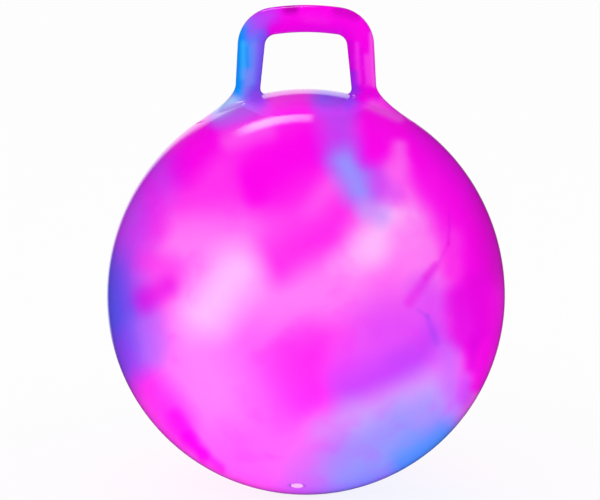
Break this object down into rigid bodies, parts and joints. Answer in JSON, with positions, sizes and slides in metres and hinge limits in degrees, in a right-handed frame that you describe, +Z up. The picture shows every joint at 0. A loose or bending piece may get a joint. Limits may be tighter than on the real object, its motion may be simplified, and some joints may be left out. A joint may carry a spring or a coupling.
{
  "type": "hopper ball",
  "caption": "Soft blown-up hopper ball with a hollow looped handle on its crown and a plugged air valve low at the front, for a child to sit on and bounce.",
  "frame": {"origin": "middle of the flat patch on the floor, straight under the middle of the ball", "axes": "+Z up, X along the handle's bar, and the valve faces the front, -Y"},
  "size_m": [0.45, 0.45, 0.5498],
  "materials": {
    "ball_vinyl": "gloss",
    "handle_vinyl": "gloss",
    "seat_vinyl": "satin",
    "plug_vinyl": "satin"
  },
  "bodies": {
    "ball": {"ball_shell": "ball_vinyl", "left_handle_root": "handle_vinyl", "right_handle_root": "handle_vinyl", "valve_seat": "seat_vinyl"},
    "handle": {"handle_loop": "handle_vinyl"},
    "plug": {"valve_plug": "plug_vinyl"}
  },
  "joints": [
    {"name": "handle_flex", "type": "hinge", "parent": "ball", "child": "handle", "pos_m": [0, 0, 0.4555], "axis": [1, 0, 0], "range_deg": [-15, 15], "stiffness_Nm_per_rad": 8, "deforming": ["left_handle_root", "right_handle_root"]},
    {"name": "plug_pull", "type": "slide", "parent": "ball", "child": "plug", "axis": [-0.0416, -0.5283, -0.848], "range_m": [0, 0.018]}
  ]
}
